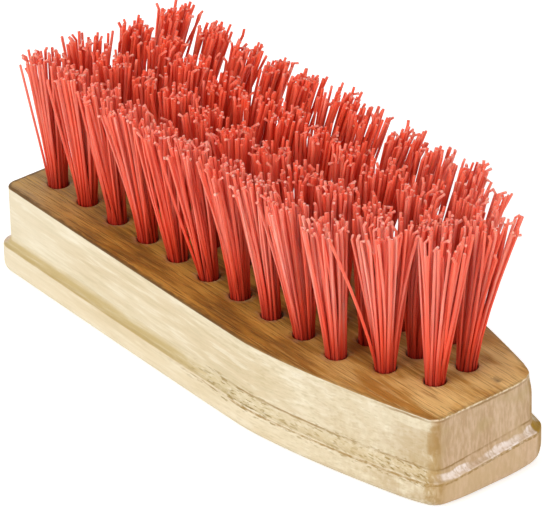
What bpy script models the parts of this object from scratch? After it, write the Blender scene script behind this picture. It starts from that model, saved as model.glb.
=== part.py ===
"""Hoof brush: a shaped wooden block with tufts of stiff filament seated in blind drilled holes.

Lengths are in metres and +Z is up. The block lies on its flat back, so the bristles point up. +X runs along the
block to its narrow nose, Y runs across it, and the origin is the middle of the flat back.
"""

import math

import bmesh
import bpy
import numpy as np

# Block outline, measured over the foot band that runs all the way round
block_length = 0.150
rear_width = 0.0496
widest_width = 0.0538
nose_width = 0.0318
widest_from_rear = 0.094
corner_radius = 0.0050
rear_curve_power = 1.3
nose_curve_power = 1.45

# Block section, from the flat back up to the bristle face
block_height = 0.0227
back_round = 0.0028
foot_height = 0.0074
cove_depth = 0.0019
cove_height = 0.0021
arris_width = 0.0003

# Drilled field: columns across the block, fewer holes in the last columns before the nose
rear_margin = 0.0101
nose_margin = 0.0145
column_pitch = 0.01135
row_pitch = 0.0093
full_rows = 4
nose_rows = 2
field_shift = 0.0011
hole_diameter = 0.0051
hole_depth = 0.0130
drill_point_depth = 0.0009

# Tuft roots: filaments folded over a flat wire anchor
fit_gap = 0.0003
fold_height = 0.0024
fold_taper_share = 0.92
fold_pinch_share = 0.45
anchor_thickness = 0.0005
anchor_height = 0.0016
anchor_rise = 0.0008

# Filaments above the face
trim_height = 0.0350
trim_scatter = 0.0008
filament_radius = 0.00046
filament_sides = 3
edge_clear_share = 1.5
ring_counts = (3, 6)
ring_shares = (0.36, 1.0)
flare_radius = 0.0045
tip_wander = 0.0004

# Lean of the worn tufts at their tips, all along one diagonal: the whole field, more in the last columns before the
# nose, and a splay that is in full at the outer rows and larger halfway along
lean_direction_shares = (0.4, 1.0)
field_sweep = 0.0018
nose_sweep = 0.0048
nose_sweep_power = 3
side_splay = 0.0043
middle_splay = 0.0015

# Facet counts, smoothing, the overrun of every cut and the seed of the uneven tips
outline_samples = 1000
side_steps = 18
corner_steps = 5
back_round_steps = 3
cove_steps = 4
hole_sides = 12
root_sides = 8
sharp_angle = math.radians(35)
cut_overrun = 0.002
tip_seed = 11

# Colours and roughness of the two materials
wood_colour = (0.62, 0.45, 0.26)
wood_roughness = 0.62
filament_colour = (0.78, 0.09, 0.05)
filament_roughness = 0.42

block_half_length = block_length / 2
hole_radius = hole_diameter / 2
root_radius = hole_radius - fit_gap
root_length = hole_depth - fit_gap


def clear_scene():
    for obj in list(bpy.data.objects):
        bpy.data.objects.remove(obj, do_unlink=True)


def make_material(name, colour, roughness):
    material = bpy.data.materials.new(name)
    material.use_nodes = True
    shader = material.node_tree.nodes["Principled BSDF"]
    shader.inputs["Base Color"].default_value = (*colour, 1.0)
    shader.inputs["Roughness"].default_value = roughness
    shader.inputs["Metallic"].default_value = 0.0
    return material


def add_object(name, bm, material=None):
    """Turn a finished bmesh into a named object that is smooth except across sharp edges."""
    bmesh.ops.recalc_face_normals(bm, faces=bm.faces)
    mesh = bpy.data.meshes.new(name)
    bm.to_mesh(mesh)
    bm.free()
    mesh.shade_smooth()
    mesh.set_sharp_from_angle(angle=sharp_angle)
    obj = bpy.data.objects.new(name, mesh)
    bpy.context.scene.collection.objects.link(obj)
    if material:
        mesh.materials.append(material)
    return obj


def hide_tool(obj):
    """A cutter or guide is left out of renders and shown as wire."""
    obj.hide_render = True
    obj.display_type = "WIRE"


def skin(bm, rings):
    """Join rings of equal count with quads and close both ends with flat faces."""
    loops = [[bm.verts.new(point) for point in ring] for ring in rings]
    count = len(loops[0])
    for lower, upper in zip(loops, loops[1:]):
        for i in range(count):
            j = (i + 1) % count
            bm.faces.new((lower[i], lower[j], upper[j], upper[i]))
    bm.faces.new(loops[0])
    bm.faces.new(loops[-1])
    return loops


def half_width(x):
    """Half width over the foot band: it swells from the rear to the widest place, then draws in to the nose."""
    widest_x = widest_from_rear - block_half_length
    rear_run = np.clip((x + block_half_length) / widest_from_rear, 0, 1)
    nose_run = np.clip((x - widest_x) / (block_length - widest_from_rear), 0, 1)
    rear_loss = (widest_width - rear_width) * (1 - rear_run) ** rear_curve_power
    nose_loss = (widest_width - nose_width) * nose_run**nose_curve_power
    return (widest_width - rear_loss - nose_loss) / 2


def side_curve():
    """Points and outward normals of the long side at +Y, between the tangent points of its corner rounds."""
    xs = np.linspace(-block_half_length, block_half_length, outline_samples + 1)
    ys = half_width(xs)
    slopes = np.gradient(ys, xs)
    normals = np.stack([-slopes, np.ones_like(slopes)], axis=1)
    normals /= np.linalg.norm(normals, axis=1)[:, None]
    centres_x = xs - corner_radius * normals[:, 0]
    limit = block_half_length - corner_radius
    tangent_x = np.interp([-limit, limit], centres_x, xs)
    side_x = np.linspace(tangent_x[0], tangent_x[1], side_steps + 1)
    points = np.stack([side_x, half_width(side_x)], axis=1)
    side_normals = np.stack([np.interp(side_x, xs, normals[:, k]) for k in (0, 1)], axis=1)
    return points, side_normals


def corner_round(point, normal, end_direction):
    """Arc from the last side point round to the flat end, which faces end_direction along X."""
    centre = point - corner_radius * normal
    start = math.atan2(normal[1], normal[0])
    finish = 0.0 if end_direction > 0 else math.pi
    angles = np.linspace(start, finish, corner_steps + 1)[1:]
    normals = np.stack([np.cos(angles), np.sin(angles)], axis=1)
    return centre + corner_radius * normals, normals


def block_outline():
    """Closed outline of the foot band with its outward normals, mirrored about the XZ plane."""
    points, normals = side_curve()
    nose_points, nose_normals = corner_round(points[-1], normals[-1], 1)
    rear_points, rear_normals = corner_round(points[0], normals[0], -1)
    upper = np.concatenate([rear_points[::-1], points, nose_points])
    upper_normals = np.concatenate([rear_normals[::-1], normals, nose_normals])
    mirror = np.array([1, -1])
    outline = np.concatenate([upper, upper[::-1] * mirror])
    outline_normals = np.concatenate([upper_normals, upper_normals[::-1] * mirror])
    return outline, outline_normals


def block_section():
    """Inset from the foot band and height of each level, from the flat back to the bristle face."""
    levels = []
    for angle in np.linspace(0, math.pi / 2, back_round_steps + 1):
        levels.append((back_round * (1 - math.sin(angle)), back_round * (1 - math.cos(angle))))
    for angle in np.linspace(0, math.pi / 2, cove_steps + 1):
        levels.append((cove_depth * math.sin(angle), foot_height + cove_height * (1 - math.cos(angle))))
    levels.append((cove_depth, block_height - arris_width))
    levels.append((cove_depth + arris_width, block_height))
    return levels


def tuft_grid():
    """Name, column X and row Y of every drilled hole."""
    run = block_length - rear_margin - nose_margin
    columns = 1 + int(run / column_pitch)
    grid = []
    for column in range(columns):
        rows = min(full_rows, nose_rows + columns - 1 - column)
        x = rear_margin - block_half_length + column * column_pitch
        for row in range(rows):
            y = field_shift + (row - (rows - 1) / 2) * row_pitch
            grid.append((f"tuft_column{column + 1:02d}_row{row + 1}", x, y))
    return grid


def circle(radius, sides, z, x=0.0, y=0.0, turn=0.0, x_share=1.0):
    """Points of a level ring, turned by an angle and pinched along X by a share."""
    angles = turn + (np.arange(sides) + 1 / 2) * math.tau / sides
    return [(x + x_share * radius * math.cos(a), y + radius * math.sin(a), z) for a in angles]


def make_drills(grid):
    """One cutter mesh holding a drill for every hole, each with a shallow conical point."""
    bm = bmesh.new()
    flat_radius = hole_radius / math.cos(math.pi / hole_sides)
    floor = block_height - hole_depth
    for _, x, y in grid:
        top = circle(flat_radius, hole_sides, block_height + cut_overrun, x, y)
        bottom = circle(flat_radius, hole_sides, floor, x, y)
        lower, _ = skin(bm, [bottom, top])
        bottom_face = next(face for face in lower[0].link_faces if len(face.verts) == hole_sides)
        point = bmesh.ops.poke(bm, faces=[bottom_face])["verts"][0]
        point.co.z = floor - drill_point_depth
    drills = add_object("hole_drills", bm)
    hide_tool(drills)
    return drills


def make_block(grid, material):
    """Loft the outline through the section, then drill the bristle face."""
    outline, normals = block_outline()
    rings = []
    for inset, z in block_section():
        ring = outline - inset * normals
        rings.append([(x, y, z) for x, y in ring])
    bm = bmesh.new()
    skin(bm, rings)
    block = add_object("block", bm, material)
    cut = block.modifiers.new("drilled_holes", "BOOLEAN")
    cut.operation = "DIFFERENCE"
    cut.solver = "EXACT"
    cut.object = make_drills(grid)
    return block


def make_root_mesh():
    """Folded root of one tuft, mouth at z = 0 and left open, with its anchor wire across the fold."""
    fold_radius = root_radius * fold_taper_share
    bm = bmesh.new()
    skin(
        bm,
        [
            circle(fold_radius, root_sides, -root_length, x_share=fold_pinch_share),
            circle(fold_radius, root_sides, fold_height - root_length),
            circle(root_radius, root_sides, 0.0),
        ],
    )
    root = add_object("tuft_root_guide", bm)
    hide_tool(root)

    bm = bmesh.new()
    bmesh.ops.create_cube(bm, size=1.0)
    anchor_centre = anchor_rise + anchor_height / 2 - root_length
    bmesh.ops.scale(bm, vec=(anchor_thickness, 2 * root_radius, anchor_height), verts=bm.verts)
    bmesh.ops.translate(bm, vec=(0.0, 0.0, anchor_centre), verts=bm.verts)
    anchor = add_object("anchor_guide", bm)
    hide_tool(anchor)

    join = root.modifiers.new("anchor", "BOOLEAN")
    join.operation = "UNION"
    join.solver = "EXACT"
    join.object = anchor
    bpy.context.view_layer.update()
    mesh = bpy.data.meshes.new_from_object(root.evaluated_get(bpy.context.evaluated_depsgraph_get()))
    bpy.data.objects.remove(root, do_unlink=True)
    bpy.data.objects.remove(anchor, do_unlink=True)

    bm = bmesh.new()
    bm.from_mesh(mesh)
    mouth = [face for face in bm.faces if all(abs(v.co.z) < fit_gap / 2 for v in face.verts)]
    bmesh.ops.delete(bm, geom=mouth, context="FACES_ONLY")
    bm.to_mesh(mesh)
    bm.free()
    return mesh


def filament_places():
    """Places of a tuft's filaments as shares of its radius: an inner ring, and an outer ring half a step round."""
    places = []
    for ring, (count, share) in enumerate(zip(ring_counts, ring_shares)):
        for i in range(count):
            angle = (i + ring / 2) * math.tau / count
            places.append((share * math.cos(angle), share * math.sin(angle)))
    return places


def make_tuft(name, x, y, root_mesh, material, rng):
    """One tuft: its root, and straight filaments that fan from the hole to the trimmed tips."""
    run = x / (block_half_length - rear_margin)
    side = y / (row_pitch * (full_rows - 1) / 2)
    lean = field_sweep + nose_sweep * max(run, 0.0) ** nose_sweep_power
    lean += (side_splay + middle_splay * (1 - run * run)) * side
    lean_x, lean_y = (lean * share for share in lean_direction_shares)
    seat_radius = root_radius - edge_clear_share * filament_radius

    bm = bmesh.new()
    bm.from_mesh(root_mesh)
    mouth_edges = [edge for edge in bm.edges if edge.is_boundary]
    filaments = []
    for share_x, share_y in filament_places():
        turn = rng.uniform(0, math.tau)
        wander = rng.uniform(-tip_wander, tip_wander, size=2)
        tip_z = trim_height + rng.uniform(-trim_scatter, 0)
        centre = (seat_radius * share_x, seat_radius * share_y)
        outline = circle(filament_radius, filament_sides, 0.0, *centre, turn=turn)
        base = [bm.verts.new(point) for point in outline]
        edges = [bm.edges.new(pair) for pair in zip(base, base[1:] + base[:1])]
        shift_x = lean_x + wander[0] + (flare_radius - seat_radius) * share_x
        shift_y = lean_y + wander[1] + (flare_radius - seat_radius) * share_y
        filaments.append((edges, (shift_x, shift_y, tip_z)))
    all_edges = mouth_edges + [edge for edges, _ in filaments for edge in edges]
    bmesh.ops.triangle_fill(bm, use_beauty=True, use_dissolve=False, edges=all_edges)
    for edges, shift in filaments:
        grown = bmesh.ops.extrude_edge_only(bm, edges=edges)["geom"]
        tip_verts = [item for item in grown if isinstance(item, bmesh.types.BMVert)]
        tip_edges = [item for item in grown if isinstance(item, bmesh.types.BMEdge)]
        bmesh.ops.translate(bm, verts=tip_verts, vec=shift)
        bmesh.ops.contextual_create(bm, geom=[e for e in tip_edges if e.is_boundary])
    tuft = add_object(name, bm, material)
    tuft.location = (x, y, block_height)
    return tuft


def build():
    clear_scene()
    wood = make_material("pale_hardwood", wood_colour, wood_roughness)
    filament = make_material("coral_filament", filament_colour, filament_roughness)
    grid = tuft_grid()
    make_block(grid, wood)
    root_mesh = make_root_mesh()
    rng = np.random.default_rng(tip_seed)
    for name, x, y in grid:
        make_tuft(name, x, y, root_mesh, filament, rng)


build()
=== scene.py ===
"""Looks of the hoof brush: a pale hardwood block with a brown oiled face, and tufts of coral filament.

Lengths are in metres in the frame's axes: +X runs along the block to its narrow nose, Y across it, +Z up
the bristles, and the origin is the middle of the flat back. The camera sees the -Y side and the nose.
Colours are linear.
"""

import math
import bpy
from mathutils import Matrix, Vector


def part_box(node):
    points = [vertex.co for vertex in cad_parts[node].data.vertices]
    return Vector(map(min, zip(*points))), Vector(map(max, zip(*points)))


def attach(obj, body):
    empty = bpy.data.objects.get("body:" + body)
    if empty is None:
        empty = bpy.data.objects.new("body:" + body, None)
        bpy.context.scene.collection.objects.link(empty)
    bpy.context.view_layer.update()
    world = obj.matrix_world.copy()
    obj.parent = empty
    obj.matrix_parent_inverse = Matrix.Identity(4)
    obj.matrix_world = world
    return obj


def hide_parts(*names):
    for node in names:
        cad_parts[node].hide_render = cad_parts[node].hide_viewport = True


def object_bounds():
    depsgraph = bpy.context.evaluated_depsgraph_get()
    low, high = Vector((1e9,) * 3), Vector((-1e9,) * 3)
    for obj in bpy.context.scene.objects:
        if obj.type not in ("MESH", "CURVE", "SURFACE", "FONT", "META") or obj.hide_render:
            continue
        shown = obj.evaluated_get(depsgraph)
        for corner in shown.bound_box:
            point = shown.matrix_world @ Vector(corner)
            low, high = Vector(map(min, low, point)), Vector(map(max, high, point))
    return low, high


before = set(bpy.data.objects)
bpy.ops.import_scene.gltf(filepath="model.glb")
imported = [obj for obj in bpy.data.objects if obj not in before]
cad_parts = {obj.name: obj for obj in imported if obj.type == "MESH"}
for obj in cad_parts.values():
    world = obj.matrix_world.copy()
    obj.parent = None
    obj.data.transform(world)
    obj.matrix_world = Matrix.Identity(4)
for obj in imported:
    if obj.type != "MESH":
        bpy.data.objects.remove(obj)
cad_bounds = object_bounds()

from types import SimpleNamespace

import bmesh
import bpy
import numpy as np
from mathutils import Matrix, Vector
from mathutils.geometry import delaunay_2d_cdt

mm = 0.001
tau = math.tau
white = (1.0, 1.0, 1.0, 1.0)

# Camera: direction from the aim point, roll of the picture, distance and lens
camera_azimuth = math.radians(51.792)
camera_elevation = math.radians(30.296)
camera_roll = math.radians(-1.555)
camera_distance = 1.21629
camera_aim = (-11.303 * mm, 8.177 * mm, 19.0 * mm)
camera_lens = 349.33
camera_sensor = 36.0

# Block outline over the foot band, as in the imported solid
rear_width = 49.6 * mm
nose_width = 31.8 * mm
widest_from_rear = 94 * mm
corner_radius = 5.0 * mm
rear_curve_power = 1.3
nose_curve_power = 1.45

# Block section from the flat back up to the bristle face
back_round = 2.8 * mm
foot_height = 7.4 * mm
foot_round = 0.35 * mm
cove_depth = 1.9 * mm
cove_height = 2.1 * mm
cove_top = foot_height + cove_height
shoulder_depth = 0.28 * mm
shoulder_height = 0.22 * mm
arris_round = 0.35 * mm

# Holes
hole_radius = 2.55 * mm
hole_depth = 13.0 * mm
drill_point_depth = 0.9 * mm
rim_width = 0.3 * mm
rim_drop = 0.35 * mm
rim_tear = 0.08 * mm

# Mesh spacing of the block
side_samples = 3001
arc_samples = 60
outline_points = 620
face_spacing = 1.25 * mm
rim_sides = 30
weld_distance = 0.002 * mm
smooth_block_angle = math.radians(50)
smooth_tuft_angle = math.radians(60)

# Hand wear: relief of the face, waviness of the walls, nicks in the edges and the chip near the nose
face_relief = 0.06 * mm
wall_relief = 0.02 * mm
edge_nick = 0.05 * mm
arris_nick_reach = 0.7 * mm
lip_nick_reach = 0.6 * mm
groove_reach = 0.45 * mm
corner_wear = 1.2 * mm
corner_wear_reach = 3.8 * mm
corner_wear_height = 7 * mm
back_corner_wear = 0.9 * mm
cove_tilt = 2.0 * mm
chip_place = (68.8 * mm, 7.0 * mm)
chip_size = (1.3 * mm, 0.6 * mm)
chip_depth = 0.15 * mm

# Filaments: number, thickness and spread
strands_in_tuft = 44
strand_radius = 0.35 * mm
strand_radius_spread = 0.04 * mm
strand_sides = 5
seat_radius = 2.12 * mm
seat_scatter = 0.03
root_pinch_share = 0.45
tip_radius = 4.75 * mm
tip_radius_spread = 0.15
near_flare_share = 0.9
far_flare_share = 0.50
nose_flare_power = 2.7
tip_wander = 0.85 * mm
stray_wander = 2.4 * mm
stray_share = 0.10
bow = 0.35 * mm
tuft_seed = 4021

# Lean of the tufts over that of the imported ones. The nose leans are reached at the very nose
lean_spread = 0.7 * mm
far_lean = 1.4 * mm
near_nose_lean = np.array([-16.4, 6.1]) * mm
far_nose_lean = np.array([-10.5, -1.5]) * mm
nose_lean_power = 6

# Trim of the tips and the hooks at their ends
tuft_drop = 1.5 * mm
trim_scatter = 1.3 * mm
short_share = 0.08
short_drop = 5.0 * mm
hook_length = 1.5 * mm
hook_share = 0.42
# Painted highlight on the tips bent over in hooks
hook_highlight = 1.0
pale_tip_share = 0.30

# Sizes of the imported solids. No strand passes far_limit, 1.5 mm past them on the far side
block_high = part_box("block")[1]
half_length = block_high.x
widest_width = 2 * block_high.y
block_height = block_high.z
brush_top = cad_bounds[1][2]
far_limit = cad_bounds[1][1] + 1.5 * mm - strand_radius

# Colours of the raw wood along the sides
side_colours = {
    "dark band": (0.69, 0.57, 0.37),
    "pale band": (0.80, 0.71, 0.52),
    "line": (0.62, 0.50, 0.30),
    "dark streak": (0.56, 0.47, 0.28),
    "pale streak": (0.88, 0.82, 0.66),
    "mottle": (0.54, 0.43, 0.23),
    "nose": (0.86, 0.78, 0.60),
    "rear": (0.84, 0.77, 0.60),
    # Painted shade on the wall just over the cove
    "wall shade over cove": (0.60, 0.50, 0.30),
    "foot": (0.74, 0.61, 0.40),
    "speckle": (0.46, 0.36, 0.17),
    # Tan of the cove, partly its own colour and partly painted shade
    "cove": (0.50, 0.37, 0.15),
    "torn": (0.28, 0.180, 0.036),
    "frayed": (0.92, 0.85, 0.70),
}

# Colours of the end grain
end_colours = {
    "dark band": (0.55, 0.36, 0.20),
    "pale band": (0.68, 0.48, 0.30),
    "line": (0.48, 0.30, 0.15),
    "pale fleck": (0.78, 0.58, 0.41),
    "dark fleck": (0.38, 0.24, 0.11),
    "patch": (0.50, 0.35, 0.15),
    "foot": (0.80, 0.55, 0.34),
    # Pale chafed strip of the ledge, partly painted highlight
    "chafed_and_lit": (0.96, 0.83, 0.75),
}

# Colours of the oiled face: each pair runs from the rear to the nose
face_colours = {
    "dark": ((0.270, 0.122, 0.013), (0.42, 0.195, 0.030)),
    "pale": ((0.490, 0.238, 0.034), (0.74, 0.430, 0.125)),
    "golden": ((0.58, 0.320, 0.060), (0.88, 0.60, 0.24)),
    "stained": ((0.180, 0.076, 0.008), (0.42, 0.170, 0.022)),
    "scratch": ((0.090, 0.036, 0.004), (0.24, 0.105, 0.014)),
}

# Colours of marks and edges
mark_colours = {
    "corner": (0.43, 0.262, 0.085),
    "corner stain": (0.36, 0.195, 0.040),
    "ochre": (0.36, 0.20, 0.016),
    # Painted shade in the crease over the cove
    "crease": (0.32, 0.185, 0.045),
    "lip": (0.34, 0.195, 0.045),
    # Painted shade near the flat back
    "shaded low edge": (0.50, 0.42, 0.29),
    # Painted sheen on the face towards the rear
    "rear sheen": (0.56, 0.40, 0.17),
    "torn rim": (0.62, 0.42, 0.25),
    "chip": (0.08, 0.04, 0.015),
    "soaked edge": (0.105, 0.050, 0.010),
    "under edge": (0.26, 0.130, 0.026),
    # Painted highlight on the arris of the end grain
    "edge highlight": (0.90, 0.74, 0.52),
    # Painted shade in the holes
    "lining": (0.16, 0.07, 0.03),
}

# Colours of the filament from the hole to the tip, darkened towards the hole as painted shade, of its drawn
# bands, of its pale tone, partly painted light, and of what is cut
filament_colours = {
    # Painted shade: darkest in the hole, lighter up the strand
    "shaded in hole": (0.32, 0.012, 0.004),
    "lower": (0.88, 0.075, 0.022),
    "upper": (1.0, 0.140, 0.066),
    "band": (0.84, 0.05, 0.014),
    # Pale tone: random for each strand, with painted light towards the front, the nose and the tips
    "light": (1.0, 0.46, 0.36),
    "cut": (1.0, 0.50, 0.42),
}


def smooth_step(low, high, value):
    """0 below low, 1 above high, and 3s^2 - 2s^3 between them."""
    share = np.clip((value - low) / (high - low), 0.0, 1.0)
    return share * share * (3 - 2 * share)


def bell(distance):
    """1 at no distance, falling as e to the power of minus its square."""
    return np.exp(-(distance**2))


def soft_noise(points, wavelength, seed, stretch=(1.0, 1.0, 1.0)):
    """Soft random field near -1..1: the scaled sum of plane waves with random directions, lengths, phases.

    Each axis is first divided by its stretch, so a large stretch draws the field out along its axis."""
    waves = 28
    rng = np.random.default_rng(seed)
    directions = rng.normal(size=(waves, 3))
    directions /= np.linalg.norm(directions, axis=1, keepdims=True)
    directions *= rng.uniform(0.6, 1.7, size=(waves, 1)) * tau / wavelength
    phases = rng.uniform(0, tau, size=waves)
    angles = (points / np.array(stretch)) @ directions.T + phases
    return np.cos(angles).sum(axis=1) * math.sqrt(0.5 / waves)


def half_width(x):
    """Half width over the foot: half the widest, less a power of the way from there to the rear or nose."""
    from_rear = x + half_length
    rear_run = np.clip(from_rear / widest_from_rear, 0, 1)
    nose_run = np.clip((from_rear - widest_from_rear) / (2 * half_length - widest_from_rear), 0, 1)
    rear_loss = (widest_width - rear_width) * (1 - rear_run) ** rear_curve_power
    nose_loss = (widest_width - nose_width) * nose_run**nose_curve_power
    return (widest_width - rear_loss - nose_loss) / 2


def outline_path(count):
    """Points and outward normals at even steps round the foot: two sides, four arcs and two flat ends."""
    xs = np.linspace(-half_length, half_length, side_samples)
    ys = half_width(xs)
    slopes = np.gradient(ys, xs)
    normals = np.stack([-slopes, np.ones_like(slopes)], axis=1)
    normals /= np.linalg.norm(normals, axis=1, keepdims=True)
    centres_x = xs - corner_radius * normals[:, 0]
    limit = half_length - corner_radius
    keep = (centres_x >= -limit) & (centres_x <= limit)
    side = np.stack([xs, ys], axis=1)[keep]
    side_normals = normals[keep]
    arcs = []
    for point, normal, finish in ((side[-1], side_normals[-1], 0.0), (side[0], side_normals[0], math.pi)):
        start = math.atan2(normal[1], normal[0])
        angles = np.linspace(start, finish, arc_samples)
        circle = np.stack([np.cos(angles), np.sin(angles)], axis=1)
        arcs.append(point - corner_radius * normal + corner_radius * circle)
    upper = np.concatenate([arcs[1][::-1], side, arcs[0]])
    closed = np.concatenate([upper, upper[::-1] * (1, -1), upper[:1]])
    lengths = np.concatenate([[0.0], np.cumsum(np.linalg.norm(np.diff(closed, axis=0), axis=1))])
    steps = np.linspace(0, lengths[-1], count, endpoint=False)
    points = np.stack([np.interp(steps, lengths, closed[:, k]) for k in (0, 1)], axis=1)
    along = np.roll(points, -1, axis=0) - np.roll(points, 1, axis=0)
    outward = np.stack([-along[:, 1], along[:, 0]], axis=1)
    outward /= np.linalg.norm(outward, axis=1, keepdims=True)
    return points, outward


def rounded_edge(radius, inset, top, count):
    """Convex quarter round from upright to level: inset + r (1 - cos a), top - r (1 - sin a)."""
    angles = np.linspace(0, math.pi / 2, count)
    return np.stack([inset + radius * (1 - np.cos(angles)), top - radius * (1 - np.sin(angles))], axis=1)


def block_section():
    """Inset and height of each level from the flat back to the face.

    They are a quarter round, the foot wall, its rounded lip, the cove (a quarter of an ellipse), the
    shoulder's step, the upper wall and the arris round."""
    angles = np.linspace(0, math.pi / 2, 8)
    back = np.stack([back_round * (1 - np.sin(angles)), back_round * (1 - np.cos(angles))], axis=1)
    foot_z = np.linspace(back_round, foot_height - foot_round, 5)[1:4]
    foot = np.stack([np.zeros(len(foot_z)), foot_z], axis=1)
    lip = rounded_edge(foot_round, 0, foot_height, 5)
    angles = np.linspace(0, math.pi / 2, 11)[1:]
    cove_inset = foot_round + (cove_depth - foot_round) * np.sin(angles)
    cove = np.stack([cove_inset, foot_height + cove_height * (1 - np.cos(angles))], axis=1)
    shoulder = [(cove_depth + 0.4 * shoulder_depth, cove_top + 0.6 * shoulder_height)]
    wall_z = np.linspace(cove_top + shoulder_height, block_height - arris_round, 12)[:-1]
    wall = np.stack([np.full(len(wall_z), cove_depth), wall_z], axis=1)
    arris = rounded_edge(arris_round, cove_depth, block_height, 5)
    return np.concatenate([back, foot, lip, cove, shoulder, wall, arris])


def nose_corner():
    """Place in plan of the far corner of the nose, on its arc over the foot."""
    inset = corner_radius * (1 - math.sqrt(0.5))
    return np.array([half_length - inset, nose_width / 2 - inset])


def face_drop(points):
    """How far the bristle face lies below its full height: soft ridges along the grain, and one chip."""
    plan = points * (1, 1, 0)
    ridges = soft_noise(plan, wavelength=2.6 * mm, seed=5, stretch=(9, 1, 1))
    waves = soft_noise(plan, wavelength=14 * mm, seed=6, stretch=(2.5, 1, 1))
    offset = (points[:, :2] - chip_place) / chip_size
    chip = np.exp(-(offset**2).sum(axis=1) ** 1.5)
    return face_relief * (0.5 + 0.25 * ridges + 0.25 * waves) + chip_depth * chip


def cove_lift(points, height):
    """How far the hand cutter ran high at a place in plan and a height: most at the far corner of the nose.

    It grows with x from a quarter of the half length, grows with y across the nose, and fades to none at
    the back edge of the foot and at the face."""
    along = smooth_step(0.25 * half_length, 0.97 * half_length, points[:, 0])
    across = np.clip(0.5 + points[:, 1] / (nose_width - 2 * corner_radius), 0.0, 1.0)
    above_back = smooth_step(back_round, foot_height, height)
    below_face = smooth_step(block_height, cove_top + cove_height, height)
    return cove_tilt * along * across * (above_back * below_face)


def wall_wear(base, flat, height):
    """How far the wall is worn in, from places on the foot's outline (base) and on the unworn wall (flat).

    It is the sum of a soft noise drawn out along the grain, sparse nicks in the two upper edges, the uneven
    groove that the cutter left under the shoulder, and bells of the distance from the corners of the nose:
    the far one worn most at the face, and both at the back."""
    ripple = 0.5 + 0.5 * soft_noise(flat, wavelength=5 * mm, seed=11, stretch=(6, 6, 1))
    nicks = np.clip(soft_noise(flat, wavelength=1.8 * mm, seed=12) - 0.25, 0, None)
    uneven = np.clip(0.6 + 0.5 * soft_noise(flat, wavelength=7 * mm, seed=13, stretch=(3, 3, 1)), 0, 1.2)
    near_arris = bell((height - block_height) / arris_nick_reach)
    near_lip = bell((height - foot_height) / lip_nick_reach)
    raised = smooth_step(0.3 * mm, back_round, height)
    below_shoulder = bell((height - cove_top) / groove_reach) * (height < cove_top + 0.7 * shoulder_height)
    wear = raised * wall_relief * ripple + edge_nick * nicks * np.maximum(near_arris, near_lip)
    wear = wear + shoulder_depth * uneven * below_shoulder
    near_corner = bell(np.linalg.norm(base - nose_corner(), axis=1) / corner_wear_reach)
    upward = 0.25 * smooth_step(foot_height, cove_top, height)
    upward = upward + 0.75 * smooth_step(block_height - corner_wear_height, block_height, height) ** 1.5
    wear = wear + corner_wear * near_corner * upward
    mirrored = np.column_stack([base[:, 0], np.abs(base[:, 1])])
    near_corner = bell(np.linalg.norm(mirrored - nose_corner(), axis=1) / corner_radius)
    return wear + back_corner_wear * near_corner * smooth_step(0.7 * foot_height, 0, height)


def wall_surface(path, normals, section):
    """Grid of points over path step i and section level j: path_i - (inset_j + wear) normal_i, at z_j.

    The height then loses the drop of the face near the top and gains the lift of the cutter."""
    count, levels = len(path), len(section)
    inset = np.broadcast_to(section[:, 0], (count, levels)).ravel()
    height = np.broadcast_to(section[:, 1], (count, levels)).ravel()
    base = np.repeat(path, levels, axis=0)
    outward = np.repeat(normals, levels, axis=0)
    flat = np.column_stack([base - inset[:, None] * outward, height])
    wear = wall_wear(base, flat, height)
    place = base - (inset + wear)[:, None] * outward
    near_top = smooth_step(block_height - 2 * mm, block_height, height)
    drop = face_drop(np.column_stack([place, height])) * near_top
    return np.column_stack([place, height - drop + cove_lift(place, height)])


def grid_quads(count, levels):
    """Four corners of each cell of a grid that closes round its path and is stored step by step."""
    i, j = np.meshgrid(np.arange(count), np.arange(levels - 1), indexing="ij")
    i, j = i.ravel(), j.ravel()
    ahead = (i + 1) % count
    corners = [i * levels + j, ahead * levels + j, ahead * levels + j + 1, i * levels + j + 1]
    return np.stack(corners, axis=1)


def mesh_points(mesh):
    points = np.empty(3 * len(mesh.vertices), dtype=np.float32)
    mesh.vertices.foreach_get("co", points)
    return points.reshape(-1, 3).astype(float)


def tuft_places():
    """Centre and lean of each packed tuft in plan, by name.

    The centre is the middle of the root below the face. The lean is the way from it to the mean tip."""
    places = {}
    for name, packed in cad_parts.items():
        if name.startswith("tuft_"):
            corners = mesh_points(packed.data)
            root = corners[corners[:, 2] < block_height]
            tips = corners[corners[:, 2] > brush_top - 4 * mm]
            centre = (root[:, :2].min(axis=0) + root[:, :2].max(axis=0)) / 2
            places[name] = (centre, tips[:, :2].mean(axis=0) - centre)
    return dict(sorted(places.items()))


def rim_surface(centre, number):
    """Lining of one hole over angle and depth: torn rim, wall, and a drill point that closes in a pole."""
    angles = np.arange(rim_sides) / rim_sides * tau
    rings = [
        (hole_radius + rim_width, 0),
        (hole_radius + 0.45 * rim_width, 0.35 * rim_drop),
        (hole_radius, rim_drop),
        (hole_radius, 0.3 * hole_depth),
        (hole_radius, hole_depth),
        (0, hole_depth + drill_point_depth),
    ]
    radius, depth = np.tile(np.array(rings), (rim_sides, 1)).T
    round_about = np.repeat(angles, len(rings))
    circle = np.stack([np.cos(round_about), np.sin(round_about)], axis=1)
    own_place = np.column_stack([circle, np.full(len(circle), number * 0.37)])
    torn = soft_noise(own_place, wavelength=0.9, seed=21)
    radius = radius + (radius > hole_radius) * rim_tear * torn
    place = np.asarray(centre) + radius[:, None] * circle
    surface = block_height - face_drop(np.column_stack([place, np.zeros(len(place))]))
    level = np.where(depth < rim_drop * 1.01, surface - depth, block_height - depth)
    return np.column_stack([place, level])


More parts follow.
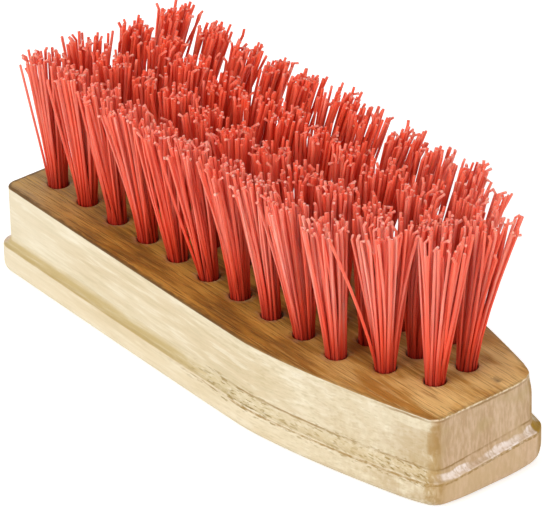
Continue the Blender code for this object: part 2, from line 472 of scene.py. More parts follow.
def inside_ring(points, ring):
    """True where a straight way to the right of a point crosses the closed ring an odd number of times."""
    x, y = points[:, :1], points[:, 1:2]
    ahead = np.roll(ring, -1, axis=0)
    rise = ahead[:, 1] - ring[:, 1]
    passes = (ring[:, 1] > y) != (ahead[:, 1] > y)
    crossing = ring[:, 0] + (y - ring[:, 1]) * (ahead[:, 0] - ring[:, 0]) / np.where(rise == 0, 1.0, rise)
    return (passes & (x < crossing)).sum(axis=1) % 2 == 1


def flat_triangles(rings, spacing):
    """Triangles between an outer ring and any inner rings, over points at an even spacing in hexagons."""
    outer = rings[0]
    low, high = outer.min(axis=0), outer.max(axis=0)
    rows = np.arange(low[1], high[1], spacing * math.sqrt(3) / 2)
    columns = np.arange(low[0], high[0], spacing)
    x, y = np.meshgrid(columns, rows, indexing="ij")
    x = x + (np.arange(len(rows)) % 2) * spacing / 2
    cloud = np.stack([x.ravel(), y.ravel()], axis=1)
    clear = inside_ring(cloud, outer)
    for ring in rings:
        nearest = np.linalg.norm(cloud[:, None, :] - ring[None, :, :], axis=2).min(axis=1)
        clear &= nearest > 0.55 * spacing
    for ring in rings[1:]:
        clear &= ~inside_ring(cloud, ring)
    cloud = cloud[clear]
    points = np.concatenate([*rings, cloud]) / mm
    edges = []
    first = 0
    for ring in rings:
        numbers = np.arange(first, first + len(ring))
        edges += np.stack([numbers, np.roll(numbers, -1)], axis=1).tolist()
        first += len(ring)
    found = delaunay_2d_cdt([Vector(p) for p in points], edges, [], 1, 1e-6, False)
    plan = np.array([tuple(p) for p in found[0]]) * mm
    triangles = np.array(found[2])
    middles = plan[triangles].mean(axis=1)
    keep = inside_ring(middles, outer)
    for ring in rings[1:]:
        keep &= ~inside_ring(middles, ring)
    return plan, triangles[keep]


def new_object(name, data):
    made = bpy.data.objects.new(name, data)
    bpy.context.scene.collection.objects.link(made)
    return made


def new_mesh(name, points, faces):
    mesh = bpy.data.meshes.new(name)
    mesh.from_pydata(points, [], [face.tolist() for part in faces for face in part])
    mesh.update()
    return mesh


def set_point_values(mesh, name, values):
    layer = mesh.attributes.new(name, "FLOAT", "POINT")
    layer.data.foreach_set("value", values.astype(np.float32))


def make_block(centres):
    """The drilled block as one closed skin: wall grid, flat back, bristle face and lining of every hole."""
    path, normals = outline_path(outline_points)
    section = block_section()
    wall = wall_surface(path, normals, section)
    levels = len(section)
    linings = [rim_surface(centre, number) for number, centre in enumerate(centres)]
    lining_levels = len(linings[0]) // rim_sides
    top_rings = [wall[levels - 1 :: levels, :2]] + [lining[::lining_levels, :2] for lining in linings]
    top_plan, top_faces = flat_triangles(top_rings, face_spacing)
    top_drop = face_drop(np.column_stack([top_plan, np.zeros(len(top_plan))]))
    top = np.column_stack([top_plan, block_height - top_drop])
    back_plan, back_faces = flat_triangles([wall[0::levels, :2]], 4 * face_spacing)
    back = np.column_stack([back_plan, np.zeros(len(back_plan))])

    parts = [(wall, grid_quads(outline_points, levels)), (top, top_faces), (back, back_faces)]
    parts += [(lining, grid_quads(rim_sides, lining_levels)) for lining in linings]
    points, faces, first = [], [], 0
    for part_points, part_faces in parts:
        points.append(part_points)
        faces.append(part_faces + first)
        first += len(part_points)
    mesh = new_mesh("drilled_block", np.concatenate(points), faces)
    bm = bmesh.new()
    bm.from_mesh(mesh)
    bmesh.ops.remove_doubles(bm, verts=bm.verts, dist=weld_distance)
    bmesh.ops.dissolve_degenerate(bm, edges=bm.edges, dist=1e-7)
    bmesh.ops.recalc_face_normals(bm, faces=bm.faces)
    bm.to_mesh(mesh)
    bm.free()
    mesh.shade_smooth()
    mesh.set_sharp_from_angle(angle=smooth_block_angle)
    paint_block(mesh, np.array(centres))
    return new_object("drilled_block", mesh)


def paint_block(mesh, centres):
    """Masks that follow the plan: hole linings and rims, way in from the edge, end grain, corners and chip.

    The level is the height that a point had before the cutter's lift, found in rounds."""
    points = mesh_points(mesh)
    gap = np.linalg.norm(points[:, None, :2] - centres[None, :, :], axis=2).min(axis=1)
    # Mask of the hole linings, which are painted dark as shade
    lining = smooth_step(hole_radius + 0.05 * mm, hole_radius - 0.05 * mm, gap)
    rim = smooth_step(hole_radius + 2.2 * rim_width, hole_radius + 0.4 * rim_width, gap) * (1 - lining)
    outline, outward = outline_path(outline_points)
    from_outline = np.linalg.norm(points[:, None, :2] - outline[None, :, :], axis=2)
    sideways = np.abs(outward[from_outline.argmin(axis=1), 0])
    corner = smooth_step(0.10, 0.45, sideways) * smooth_step(1.0, 0.90, sideways) * (points[:, 0] > 0)
    level = points[:, 2]
    for _ in range(12):
        level = points[:, 2] - cove_lift(points, level)
    offset = (points[:, :2] - chip_place) / chip_size
    set_point_values(mesh, "level", level / mm)
    set_point_values(mesh, "lining", lining)
    set_point_values(mesh, "rim", rim)
    set_point_values(mesh, "from_edge", (from_outline.min(axis=1) - cove_depth) / mm)
    set_point_values(mesh, "end_grain", smooth_step(0.45, 0.9, sideways))
    set_point_values(mesh, "corner", corner)
    set_point_values(mesh, "chip", np.exp(-((offset**2).sum(axis=1))))


def disc_spread(count):
    """Even places in a unit disc: radius sqrt((i + 1/2) / n), each turned on by the golden angle."""
    index = np.arange(count)
    radius = np.sqrt((index + 0.5) / count)
    angle = index * math.pi * (3 - math.sqrt(5))
    return np.stack([radius * np.cos(angle), radius * np.sin(angle)], axis=1)


def tuft_lean(centre, lean, nose_run, rng):
    """Lean of a tuft in plan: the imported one, the nose lean times nose_run^p, chance, and the far lean."""
    lean = lean + (near_nose_lean if centre[1] < 0 else far_nose_lean) * nose_run**nose_lean_power
    lean = lean + rng.uniform(-lean_spread, lean_spread, size=2)
    return lean + np.array([0.0, far_lean * smooth_step(0.0, 0.25 * widest_width, centre[1])])


def strand_lines(centre, lean, rng):
    """Centre lines of one tuft, strand by level, from the fold in the hole to the trimmed tip.

    A strand runs straight up the hole and pinches in at the fold. Above the face it moves out by its reach
    times run^p, plus a small bow of sin(pi run). The reach is the way from its seat to its place in the
    flared tuft, plus the lean and its own wander. The tip sinks by the square of its reach beyond the lean,
    over twice its length, and some tips bend over in a hook. No centre line passes the far limit."""
    count = strands_in_tuft
    nose_run = max(centre[0] / half_length, 0.0)
    nose_share = near_flare_share if centre[1] < 0 else far_flare_share
    flare = tip_radius * (1 + nose_share * nose_run**nose_flare_power)
    flare = flare * rng.uniform(1 - tip_radius_spread, 1 + tip_radius_spread)
    lean = tuft_lean(centre, lean, nose_run, rng)
    places = disc_spread(count) @ np.array(Matrix.Rotation(rng.uniform(0, tau), 2))
    places = places + rng.normal(scale=seat_scatter, size=(count, 2))
    seat = seat_radius * places
    wander = rng.normal(scale=tip_wander, size=(count, 2))
    strays = rng.random(count) < stray_share
    wander[strays] += rng.normal(scale=stray_wander, size=(strays.sum(), 2))
    reach = flare * places - seat + lean + wander

    drop = tuft_drop * (1 - nose_run**2) * rng.random() ** 2
    top = brush_top - block_height - drop - trim_scatter * rng.random(count) ** 1.5
    top -= ((reach - lean) ** 2).sum(axis=1) / (2 * top)
    short = rng.random(count) < short_share
    top[short] -= short_drop * rng.random(short.sum())
    hook = hook_length * rng.uniform(0.6, 1.2, size=count)
    lower_runs = np.tile([0.05, 0.22, 0.42, 0.62, 0.82], (count, 1))
    runs = np.concatenate([lower_runs, (1 - hook / top)[:, None], np.ones((count, 1))], axis=1)
    power = rng.uniform(1.0, 1.35, size=(count, 1))
    sideways = rng.normal(scale=bow, size=(count, 1, 2))
    plan = seat[:, None, :] + reach[:, None, :] * (runs**power)[..., None]
    plan += sideways * np.sin(math.pi * runs)[..., None]
    rise = top[:, None] * runs

    hooked = rng.random(count) < hook_share
    turn = rng.uniform(0, tau, size=count)
    bend = rng.uniform(0.35, 1.45, size=count) * hooked
    plan[:, -1, 0] += hook * np.sin(bend) * np.cos(turn)
    plan[:, -1, 1] += hook * np.sin(bend) * np.sin(turn)
    rise[:, -1] -= hook * (1 - np.cos(bend))

    root = np.stack([seat * (root_pinch_share, 1.0), seat * 0.98, seat], axis=1)
    root_rise = np.broadcast_to(np.array([-0.96, -0.55, -0.03]) * hole_depth, (count, 3))
    plan = np.concatenate([root, plan], axis=1) + np.asarray(centre)
    plan[..., 1] = np.minimum(plan[..., 1], far_limit)
    levels = np.concatenate([root_rise, rise], axis=1) + block_height
    return np.concatenate([plan, levels[..., None]], axis=2)


def tube_surfaces(lines, radii, sides, turns):
    """Tubes along lines (strand, level, xyz): centre + radius (cos a first + sin a second).

    First and second are square to the line, and first points out at each strand's own turn."""
    tangent = np.gradient(lines, axis=1)
    tangent /= np.linalg.norm(tangent, axis=2, keepdims=True)
    first = np.stack([np.cos(turns), np.sin(turns), np.zeros_like(turns)], axis=1)[:, None, :]
    first = first - (first * tangent).sum(axis=2, keepdims=True) * tangent
    first /= np.linalg.norm(first, axis=2, keepdims=True)
    second = np.cross(tangent, first)
    angles = np.arange(sides) / sides * tau
    circle = first[:, :, None, :] * np.cos(angles)[:, None]
    circle = circle + second[:, :, None, :] * np.sin(angles)[:, None]
    return lines[:, :, None, :] + radii[:, None, None, None] * circle


def tube_faces(strands, levels, sides):
    """Quads round every tube, then the polygons that close its root and its cut tip."""
    s, j, k = np.meshgrid(np.arange(strands), np.arange(levels - 1), np.arange(sides), indexing="ij")
    s, j, k = s.ravel(), j.ravel(), k.ravel()
    ring = (s * levels + j) * sides
    ahead = (k + 1) % sides
    quads = np.stack([ring + k, ring + ahead, ring + sides + ahead, ring + sides + k], axis=1)
    starts = np.arange(strands)[:, None] * levels * sides
    roots = starts + np.arange(sides)[::-1]
    tips = starts + (levels - 1) * sides + np.arange(sides)
    return quads, roots, tips


def strand_tones(centre, lines, rng):
    """How pale each ring is, 0..1: random for each strand, plus painted light towards the nose and the
    front.

    The last ring gains a painted highlight by how far its hook bends away from upright."""
    toward_nose = max(centre[0] / half_length, 0.0)
    front_light = max(-2 * centre[1] / widest_width, 0.0)
    strands, levels, _ = lines.shape
    # Painted light: strands near the front and the nose are made paler.
    tone = rng.random(strands) ** 1.8 * (0.18 + 0.38 * toward_nose + 0.42 * front_light)
    tone = tone + 0.38 * front_light + 0.19 * toward_nose
    tone = np.repeat(tone[:, None], levels, axis=1)
    tip = lines[:, -1] - lines[:, -2]
    # Painted highlight on the hooked tips
    tone[:, -1] += hook_highlight * (1 - tip[:, 2] / np.linalg.norm(tip, axis=1))
    return np.minimum(tone, 1.0)


def make_tuft(node_name, centre, lean, number, material):
    """One tuft of bent, uneven filaments with pale cut ends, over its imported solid."""
    rng = np.random.default_rng(tuft_seed + number)
    lines = strand_lines(centre, lean, rng)
    strands, levels, _ = lines.shape
    radii = strand_radius + strand_radius_spread * rng.uniform(-1, 1, size=strands)
    rings = tube_surfaces(lines, radii, strand_sides, rng.uniform(0, tau, size=strands))
    points = rings.reshape(-1, 3)
    points[:, 2] = np.minimum(points[:, 2], brush_top)
    name = node_name.replace("tuft_", "bristles_")
    mesh = new_mesh(name, points, tube_faces(strands, levels, strand_sides))
    mesh.shade_smooth()
    mesh.set_sharp_from_angle(angle=smooth_tuft_angle)
    along = (lines[..., 2] - block_height) / (brush_top - block_height)
    set_point_values(mesh, "along", np.repeat(along.ravel(), strand_sides))
    set_point_values(mesh, "tone", np.repeat(strand_tones(centre, lines, rng).ravel(), strand_sides))
    cut = np.zeros(len(mesh.polygons), dtype=np.float32)
    cut[-strands:] = rng.random(strands) < pale_tip_share
    mesh.attributes.new("cut_end", "FLOAT", "FACE").data.foreach_set("value", cut)
    mesh.materials.append(material)
    return new_object(name, mesh)


def fill_sockets(tree, made, inputs):
    """Links each named socket to another node's output, or sets it to a plain value."""
    for name, value in inputs.items():
        if isinstance(value, bpy.types.NodeSocket):
            tree.links.new(value, made.inputs[name])
        else:
            made.inputs[name].default_value = value


def node(tree, kind, inputs, **settings):
    """A new shader node with its settings and its sockets filled."""
    made = tree.nodes.new(kind)
    for name, value in settings.items():
        setattr(made, name, value)
    fill_sockets(tree, made, inputs)
    return made


def maths(tree, operation, first, second):
    return node(tree, "ShaderNodeMath", {0: first, 1: second}, operation=operation).outputs[0]


def product(tree, *values):
    """All values multiplied, first to last."""
    result = values[0]
    for value in values[1:]:
        result = maths(tree, "MULTIPLY", result, value)
    return result


def mask_value(tree, name):
    return node(tree, "ShaderNodeAttribute", {}, attribute_name=name).outputs["Fac"]


def blend_colour(tree, share, first, second):
    """The first colour where the share is 0 and the second where it is 1."""
    first, second = [(*tint, 1.0) if isinstance(tint, tuple) else tint for tint in (first, second)]
    return node(tree, "ShaderNodeMix", {0: share, 6: first, 7: second}, data_type="RGBA").outputs[2]


def lay_colours(tree, colour, layers):
    """The colour with each layer, a share and a tint, laid over it in turn."""
    for share, tint in layers:
        colour = blend_colour(tree, share, colour, tint)
    return colour


def ease(tree, value, low, high, to_low=0.0, to_high=1.0):
    """Eases from to_low at low to to_high at high, and stays there beyond either. Low may be the larger."""
    inputs = {"Value": value, "From Min": low, "From Max": high, "To Min": to_low, "To Max": to_high}
    return node(tree, "ShaderNodeMapRange", inputs, interpolation_type="SMOOTHSTEP").outputs[0]


def new_group(name, inputs, outputs):
    """A shader node group with float or vector inputs and float outputs."""
    tree = bpy.data.node_groups.new(name, "ShaderNodeTree")
    for socket, kind in inputs.items():
        tree.interface.new_socket(socket, in_out="INPUT", socket_type=kind)
    for socket in outputs:
        tree.interface.new_socket(socket, in_out="OUTPUT", socket_type="NodeSocketFloat")
    return tree, tree.nodes.new("NodeGroupInput").outputs, tree.nodes.new("NodeGroupOutput").inputs


def make_drawn_streaks():
    """Streaks drawn out along one axis of the pattern: coarse bands plus fine lines, each near 0..1."""
    sockets = {"Vector": "NodeSocketVector", "Coarse": "NodeSocketFloat", "Fine": "NodeSocketFloat"}
    tree, given, result = new_group("drawn_streaks", sockets, ("Bands", "Lines"))
    for output, scale, detail in (("Bands", given["Coarse"], 2.0), ("Lines", given["Fine"], 3.0)):
        inputs = {"Vector": given["Vector"], "Scale": scale, "Detail": detail, "Distortion": 0.35}
        noise = node(tree, "ShaderNodeTexNoise", inputs)
        tree.links.new(ease(tree, noise.outputs["Fac"], 0.3, 0.7), result[output])
    return tree


def object_place(tree):
    return node(tree, "ShaderNodeTexCoord", {}).outputs["Object"]


def scaled_place(tree, scale, turn=(0.0, 0.0, 0.0)):
    inputs = {"Vector": object_place(tree), "Scale": scale, "Rotation": turn}
    return node(tree, "ShaderNodeMapping", inputs).outputs[0]


def draw_streaks(tree, streaks, scale, coarse, fine, turn=(0.0, 0.0, 0.0)):
    """Bands and lines of the streak group, stretched by the inverse of scale and turned (radians)."""
    inputs = {"Vector": scaled_place(tree, scale, turn), "Coarse": coarse, "Fine": fine}
    return node(tree, "ShaderNodeGroup", inputs, node_tree=streaks).outputs


def soft_patches(tree, scale, fineness, detail):
    """Cloudy noise near 0.5, stretched by the inverse of scale along each axis."""
    inputs = {"Vector": scaled_place(tree, scale), "Scale": fineness, "Detail": detail}
    return node(tree, "ShaderNodeTexNoise", inputs).outputs["Fac"]


def new_material(name):
    material = bpy.data.materials.new(name)
    material.use_nodes = True
    return material, material.node_tree, material.node_tree.nodes["Principled BSDF"]


def band(tree, height, low, high, edge):
    """1 between two heights, easing to 0 over an edge outside each."""
    above = ease(tree, height, low - edge, low)
    below = ease(tree, height, high + edge, high)
    return maths(tree, "MULTIPLY", above, below)


def wood_marks(tree, streaks):
    """Patterns and masks that the colours of the wood share.

    Runs such as nose_third are 0..1 along the block, and level is the height before the cutter's lift."""
    marks = SimpleNamespace()
    skew = (0, 0, 0.05)
    marks.long_grain = draw_streaks(tree, streaks, (0.045, 1, 0.35), coarse=420.0, fine=1500.0)
    marks.face_grain = draw_streaks(tree, streaks, (0.10, 1, 0.2), coarse=420.0, fine=1500.0, turn=skew)
    marks.end_streaks = draw_streaks(tree, streaks, (0.3, 1, 0.14), coarse=330.0, fine=1700.0)
    marks.patches = soft_patches(tree, (0.35, 1, 1), fineness=110.0, detail=2.0)
    marks.clouds = soft_patches(tree, (0.30, 1, 1), fineness=170.0, detail=5.0)
    marks.mottle = soft_patches(tree, (0.4, 1, 1), fineness=1000.0, detail=4.0)
    marks.streaky = soft_patches(tree, (0.09, 1, 1), fineness=1100.0, detail=5.0)
    marks.upright = soft_patches(tree, (0.6, 1, 0.30), fineness=1500.0, detail=4.0)
    dashes = soft_patches(tree, (0.17, 1, 1), fineness=2100.0, detail=4.0)
    marks.dashes = ease(tree, dashes, 0.52, 0.64)
    scratches = soft_patches(tree, (0.05, 1, 1), fineness=2700.0, detail=4.0)
    marks.scratches = ease(tree, scratches, 0.51, 0.64)
    frayed = soft_patches(tree, (0.20, 1, 1), fineness=2500.0, detail=3.0)
    marks.frayed = ease(tree, frayed, 0.54, 0.62)

    axes = node(tree, "ShaderNodeSeparateXYZ", {0: object_place(tree)}).outputs
    marks.x, marks.y = axes["X"], axes["Y"]
    marks.toward_nose = ease(tree, marks.x, -0.35 * half_length, 0.95 * half_length)
    marks.nose_third = ease(tree, marks.x, 0.15 * half_length, 0.95 * half_length)
    marks.nose_half = ease(tree, marks.x, -0.25 * half_length, 0.35 * half_length)
    marks.toward_rear = ease(tree, marks.x, -0.45 * half_length, -0.95 * half_length)
    marks.end_grain = mask_value(tree, "end_grain")
    marks.corner = mask_value(tree, "corner")
    marks.from_edge = mask_value(tree, "from_edge")
    marks.level = product(tree, mask_value(tree, "level"), mm)
    marks.spots = maths(tree, "SUBTRACT", marks.mottle, 0.5)
    marks.height = maths(tree, "ADD", marks.level, product(tree, marks.spots, 0.5 * mm))
    marks.on_foot = band(tree, marks.level, -mm, foot_height - 0.2 * mm, edge=0.2 * mm)
    return marks


def torn_step(tree, marks):
    """Masks of the dark dashes and the pale fibres that the cutter tore along the step of the sides."""
    zone = product(
        tree,
        band(tree, marks.level, foot_height - 1.1 * mm, cove_top + 0.2 * mm, edge=1.0 * mm),
        ease(tree, marks.nose_half, 0, 1, 0.05, 0.9),
        ease(tree, marks.patches, 0.38, 0.58, 0.25, 1.0),
        maths(tree, "SUBTRACT", 1.0, marks.end_grain),
    )
    return product(tree, marks.dashes, zone), product(tree, marks.frayed, zone)


def side_colour(tree, marks, torn, frayed):
    """Raw wood of the sides: grain, mottle, paler ends, painted shade on the wall over the cove, the foot,
    speckles, the tan cove with painted shade low in it, and the tears.
    """
    mottled = ease(tree, marks.mottle, 0.48, 0.64)
    mottled = product(tree, mottled, ease(tree, marks.toward_nose, 0, 1, 0.08, 0.18))
    # Painted shade on the wall just over the cove, in patches
    wall_shade_over_cove = band(tree, marks.level, cove_top, cove_top + 0.4 * mm, edge=3.2 * mm)
    wall_shade_over_cove = product(tree, wall_shade_over_cove, ease(tree, marks.patches, 0.40, 0.62, 0.05, 0.4))
    on_foot = product(tree, marks.on_foot, ease(tree, marks.nose_third, 0, 1, 0.35, 0.05))
    # Cove tint, partly the wood's own tan and partly painted shade, darkest low in the cove.
    cove_tint_and_shade = product(
        tree,
        ease(tree, marks.level, foot_height - 0.15 * mm, foot_height),
        ease(tree, marks.height, foot_height + 0.35 * cove_height, cove_top + 0.5 * mm, 1, 0),
        ease(tree, marks.nose_half, 0, 1, 0.9, 0.3),
        ease(tree, marks.streaky, 0.3, 0.6, 0.7, 1.0),
    )
    tints = side_colours
    layers = [
        (product(tree, marks.long_grain["Lines"], 0.30), tints["line"]),
        (ease(tree, marks.streaky, 0.50, 0.66, 0.0, 0.4), tints["dark streak"]),
        (ease(tree, marks.streaky, 0.48, 0.36, 0.0, 0.4), tints["pale streak"]),
        (mottled, tints["mottle"]),
        (ease(tree, marks.nose_third, 0, 1, 0, 0.30), tints["nose"]),
        (product(tree, marks.toward_rear, 0.4), tints["rear"]),
        (wall_shade_over_cove, tints["wall shade over cove"]),
        (on_foot, tints["foot"]),
        (product(tree, marks.dashes, marks.nose_half, 0.25), tints["speckle"]),
        (cove_tint_and_shade, tints["cove"]),
        (torn, tints["torn"]),
        (product(tree, frayed, 0.35), tints["frayed"]),
    ]
    bands = blend_colour(tree, marks.long_grain["Bands"], tints["dark band"], tints["pale band"])
    return lay_colours(tree, bands, layers)


def end_colour(tree, marks):
    """Raw end grain: bands, lines, flecks, patches, a warmer foot and the pale chafed strip on the ledge,
    partly painted highlight.
    """
    waves = maths(tree, "SUBTRACT", soft_patches(tree, (0.5, 1, 1), fineness=230.0, detail=1.5), 0.5)
    wavy_height = maths(tree, "ADD", marks.level, product(tree, waves, 2.6 * mm))
    ledge_low, ledge_high = foot_height - 0.15 * mm, foot_height + 0.32 * cove_height
    # Pale torn end grain of the ledge, partly painted highlight where it catches the light
    chafed_and_lit = product(
        tree,
        band(tree, wavy_height, ledge_low, ledge_high, edge=0.40 * mm),
        ease(tree, marks.clouds, 0.42, 0.58, 0.25, 0.95),
        ease(tree, marks.upright, 0.34, 0.54, 0.45, 1.0),
    )
    tints = end_colours
    layers = [
        (product(tree, marks.end_streaks["Lines"], 0.35), tints["line"]),
        (ease(tree, marks.upright, 0.48, 0.62, 0.0, 0.30), tints["pale fleck"]),
        (ease(tree, marks.upright, 0.50, 0.36, 0.0, 0.22), tints["dark fleck"]),
        (ease(tree, marks.patches, 0.42, 0.62, 0.0, 0.55), tints["patch"]),
        (product(tree, marks.on_foot, 0.3), tints["foot"]),
        (chafed_and_lit, tints["chafed_and_lit"]),
    ]
    bands = blend_colour(tree, marks.end_streaks["Bands"], tints["dark band"], tints["pale band"])
    return lay_colours(tree, bands, layers)


def raw_marks(tree, marks):
    """Layers over the raw wood: stains down the corners of the nose, an ochre patch at the far one, painted
    shade in the crease over the cove, a darker line just under the foot's lip, and painted shade near the
    flat back."""
    corner = product(
        tree,
        marks.corner,
        ease(tree, marks.upright, 0.36, 0.58, 0.35, 1.0),
        ease(tree, marks.level, cove_top, block_height - 2 * mm, 0.8, 0.35),
    )
    ochre = product(
        tree,
        band(tree, marks.level, foot_height - 0.4 * mm, foot_height + 1.0 * mm, edge=0.3 * mm),
        marks.corner,
        ease(tree, marks.y, 0.0, 0.1 * widest_width),
        ease(tree, marks.x, 0.95 * half_length, 0.97 * half_length),
    )
    # Painted shade: a dark line in the crease at the top of the cove.
    crease = product(
        tree,
        band(tree, marks.height, cove_top - 0.1 * mm, cove_top + 0.1 * mm, edge=0.35 * mm),
        marks.nose_half,
        ease(tree, marks.clouds, 0.40, 0.60, 0.10, 0.80),
    )
    # A darker line just under the foot's lip.
    lip = product(
        tree,
        band(tree, marks.height, foot_height - 0.75 * mm, foot_height - 0.35 * mm, edge=0.20 * mm),
        marks.nose_half,
        ease(tree, marks.mottle, 0.36, 0.60, 0.25, 0.85),
    )
    stain = product(tree, marks.corner, ease(tree, marks.clouds, 0.50, 0.60, 0.0, 0.7))
    tints = mark_colours
    return [
        (corner, tints["corner"]),
        (stain, tints["corner stain"]),
        (ease(tree, ochre, 0.0, 0.4), tints["ochre"]),
        (crease, tints["crease"]),
        (lip, tints["lip"]),
        # Painted shade: darker towards the flat back.
        (ease(tree, marks.height, 1.6 * mm, 0.3 * mm, 0.0, 0.5), tints["shaded low edge"]),
    ]


def face_colour(tree, marks):
    """Oiled face: grain with golden and stained clouds, painted sheen towards the rear, scratches, bruised
    rims, the chip, dark edges.
    """
    tints = {}
    for name, (rear, nose) in face_colours.items():
        tints[name] = blend_colour(tree, marks.nose_third, rear, nose)
    bruised = product(tree, mask_value(tree, "rim"), ease(tree, marks.mottle, 0.42, 0.60, 0.0, 0.45))
    splintered = product(tree, mask_value(tree, "chip"), ease(tree, marks.mottle, 0.42, 0.50))
    ragged_edge = maths(tree, "ADD", marks.from_edge, product(tree, marks.spots, 1.6))
    soaked = ease(tree, ragged_edge, 1.3, 0.3)
    soaked = product(tree, soaked, ease(tree, marks.toward_nose, 0.0, 0.9, 0.85, 0.35))
    layers = [
        (product(tree, marks.face_grain["Lines"], 0.45), tints["dark"]),
        (ease(tree, marks.clouds, 0.46, 0.62, 0.0, 0.6), tints["golden"]),
        (ease(tree, marks.clouds, 0.50, 0.36, 0.0, 0.7), tints["stained"]),
        # Painted sheen: the face paler and greyer towards the rear.
        (product(tree, marks.toward_rear, 0.6), mark_colours["rear sheen"]),
        (ease(tree, marks.streaky, 0.52, 0.64, 0.0, 0.35), tints["golden"]),
        (product(tree, marks.scratches, 0.50), tints["scratch"]),
        (bruised, mark_colours["torn rim"]),
        (splintered, mark_colours["chip"]),
        (soaked, mark_colours["soaked edge"]),
    ]
    bands = blend_colour(tree, marks.face_grain["Bands"], tints["dark"], tints["pale"])
    return lay_colours(tree, bands, layers)


def edge_marks(tree, marks):
    """Layers over all the wood: the brown line under the arris near the nose, a painted highlight along the
    arris of the end grain, and the linings of the holes darkened as painted shade."""
    line_low, line_high = block_height - 0.95 * mm, block_height - 0.60 * mm
    under_edge = product(
        tree,
        band(tree, marks.height, line_low, line_high, edge=0.2 * mm),
        ease(tree, marks.x, 0.55 * half_length, 0.9 * half_length, 0.0, 0.85),
        ease(tree, marks.patches, 0.35, 0.6, 0.2, 1.0),
    )
    # Painted highlight: the arris of the end grain made pale.
    arris_low, arris_high = block_height - 0.42 * mm, block_height - 0.2 * mm
    edge_highlight = product(
        tree,
        band(tree, marks.level, arris_low, arris_high, edge=0.12 * mm),
        marks.end_grain,
        ease(tree, marks.from_edge, 1.0, 0.6),
        ease(tree, marks.mottle, 0.40, 0.58, 0.1, 0.8),
    )
    return [
        (under_edge, mark_colours["under edge"]),
        (edge_highlight, mark_colours["edge highlight"]),
        # Painted shade: the linings of the holes made dark.
        (mask_value(tree, "lining"), mark_colours["lining"]),
    ]


def make_wood(streaks):
    """Pale hardwood with long grain, pores and end grain, browned by oil on the face."""
    material, tree, shader = new_material("oiled_hardwood")
    marks = wood_marks(tree, streaks)
    torn, frayed = torn_step(tree, marks)
    side = side_colour(tree, marks, torn, frayed)
    raw = blend_colour(tree, marks.end_grain, side, end_colour(tree, marks))
    raw = lay_colours(tree, raw, raw_marks(tree, marks))
    face = ease(tree, marks.level, block_height - 0.35 * mm, block_height - 0.22 * mm)
    colour = blend_colour(tree, face, raw, face_colour(tree, marks))
    colour = lay_colours(tree, colour, edge_marks(tree, marks))
    relief = maths(tree, "SUBTRACT", maths(tree, "ADD", marks.long_grain["Lines"], marks.mottle), torn)
    relief = maths(tree, "SUBTRACT", relief, product(tree, marks.scratches, face))
    bump = node(tree, "ShaderNodeBump", {"Height": relief, "Strength": 0.5, "Distance": 0.10 * mm})
    finish = {
        "Base Color": colour,
        "Roughness": ease(tree, marks.long_grain["Lines"], 0.0, 1.0, 0.5, 0.72),
        "Specular IOR Level": 0.35,
        "Normal": bump.outputs[0],
    }
    fill_sockets(tree, shader, finish)
    return material


def make_filament(streaks):
    """Coral filament: deep red in the hole and lighter to the tip as painted shade, paler by its tone, pale
    where cut.
    """
    material, tree, shader = new_material("coral_filament")
    drawn = draw_streaks(tree, streaks, (1, 1, 0.04), coarse=1500.0, fine=5000.0)
    along = mask_value(tree, "along")
    # Tone: strands paler at random, with painted light towards the front, the nose and the tips.
    tone = product(tree, mask_value(tree, "tone"), ease(tree, along, 0.0, 0.62, 0.08, 1.0))
    tints = filament_colours
    layers = [
        # Painted shade: the colours in the hole, low and high on the strand darken it towards its root.
        (ease(tree, along, -0.05, 0.3), tints["lower"]),
        (ease(tree, along, 0.3, 1.0), tints["upper"]),
        (tone, tints["light"]),
        (product(tree, drawn["Bands"], 0.3), tints["band"]),
        (product(tree, mask_value(tree, "cut_end"), 0.6), tints["cut"]),
    ]
    colour = lay_colours(tree, tints["shaded in hole"], layers)
    bump = node(tree, "ShaderNodeBump", {"Height": drawn["Lines"], "Strength": 0.2, "Distance": 0.03 * mm})
    finish = {
        "Base Color": colour,
        "Roughness": ease(tree, drawn["Lines"], 0.0, 1.0, 0.32, 0.5),
        "Specular IOR Level": 0.25,
        "Subsurface Weight": 0.3,
        "Subsurface Radius": (1.0, 0.25, 0.1),
        "Subsurface Scale": 0.6 * mm,
        "Normal": bump.outputs[0],
    }
    fill_sockets(tree, shader, finish)
    return material


def seen_straight(tree):
    """1 where the camera, or a mirror or glass, looks straight at the surface, and 0 for its light."""
    path = node(tree, "ShaderNodeLightPath", {}).outputs
    seen = maths(tree, "MAXIMUM", path["Is Camera Ray"], path["Is Glossy Ray"])
    return maths(tree, "MAXIMUM", seen, path["Is Transmission Ray"])


def make_floor():
    """Large pale floor that keeps the shadow. Seen straight it shines a little itself, to read white."""
    size = 8.0
    mesh = bpy.data.meshes.new("floor")
    corners = [(-size, -size, 0), (size, -size, 0), (size, size, 0), (-size, size, 0)]
    mesh.from_pydata(corners, [], [(0, 1, 2, 3)])
    material, tree, shader = new_material("pale_floor")
    finish = {
        "Base Color": (0.86, 0.86, 0.86, 1.0),
        "Roughness": 0.9,
        "Specular IOR Level": 0.1,
        "Emission Color": white,
        "Emission Strength": product(tree, seen_straight(tree), 0.55),
    }
    fill_sockets(tree, shader, finish)
    mesh.materials.append(material)
    floor = new_object("floor", mesh)


def direction(azimuth, elevation):
    """Unit vector towards a place at that azimuth, measured from -Y towards +X, and elevation."""
    level = math.cos(elevation)
    return Vector((math.sin(azimuth) * level, -math.cos(azimuth) * level, math.sin(elevation)))


def frame_axes(back, roll=0.0):
    """Rotation whose -Z looks along -back, with the picture turned by roll."""
    side = Vector((0, 0, 1)).cross(back).normalized()
    axes = Matrix((side, back.cross(side), back)).transposed()
    return (axes @ Matrix.Rotation(roll, 3, "Z")).to_4x4()


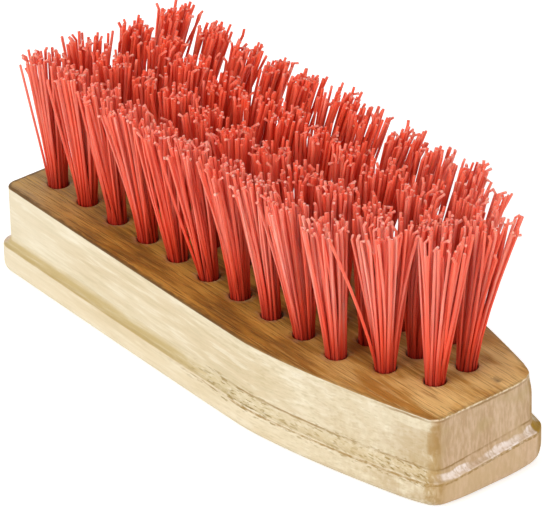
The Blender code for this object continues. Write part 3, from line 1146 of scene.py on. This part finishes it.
def add_softbox(name, azimuth, elevation, distance, size, level):
    """Square softbox aimed at the brush. At level 1 a matt surface facing it renders about as written."""
    lamp = bpy.data.lights.new(name, "AREA")
    lamp.shape = "SQUARE"
    lamp.size = size
    lamp.energy = level * math.pi**2 * distance**2
    back = direction(math.radians(azimuth), math.radians(elevation))
    spot = Vector((0, 0, block_height)) + distance * back
    new_object(name, lamp).matrix_world = Matrix.Translation(spot) @ frame_axes(back)


def light_room():
    """One large key from the long side that shows, soft fills, and a pale room that is white where seen."""
    add_softbox("key", azimuth=-12, elevation=24, distance=1.3, size=0.9, level=0.64)
    add_softbox("overhead", azimuth=40, elevation=82, distance=1.4, size=1.2, level=0.16)
    add_softbox("nose_fill", azimuth=88, elevation=22, distance=1.5, size=1.0, level=0.40)
    world = bpy.data.worlds.new("pale_room")
    world.use_nodes = True
    tree = world.node_tree
    background = tree.nodes["Background"]
    inputs = {"Value": seen_straight(tree), "To Min": 0.40, "To Max": 1.0}
    strength = node(tree, "ShaderNodeMapRange", inputs).outputs[0]
    fill_sockets(tree, background, {"Color": white, "Strength": strength})
    bpy.context.scene.world = world


def place_camera():
    data = bpy.data.cameras.new("camera")
    data.lens = camera_lens
    data.sensor_width = camera_sensor
    data.sensor_fit = "HORIZONTAL"
    data.clip_end = 100.0
    camera = new_object("camera", data)
    back = direction(camera_azimuth, camera_elevation)
    spot = Vector(camera_aim) + camera_distance * back
    camera.matrix_world = Matrix.Translation(spot) @ frame_axes(back, camera_roll)
    bpy.context.scene.camera = camera


def dress_brush():
    streaks = make_drawn_streaks()
    wood = make_wood(streaks)
    filament = make_filament(streaks)
    tufts = tuft_places()
    block = make_block([centre for centre, _ in tufts.values()])
    block.data.materials.append(wood)
    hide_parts("block")
    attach(block, "root")
    for number, (name, (centre, lean)) in enumerate(tufts.items()):
        tuft = make_tuft(name, centre, lean, number, filament)
        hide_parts(name)
        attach(tuft, "root")


bpy.context.scene.view_settings.view_transform = "Standard"
place_camera()
dress_brush()
make_floor()
light_room()
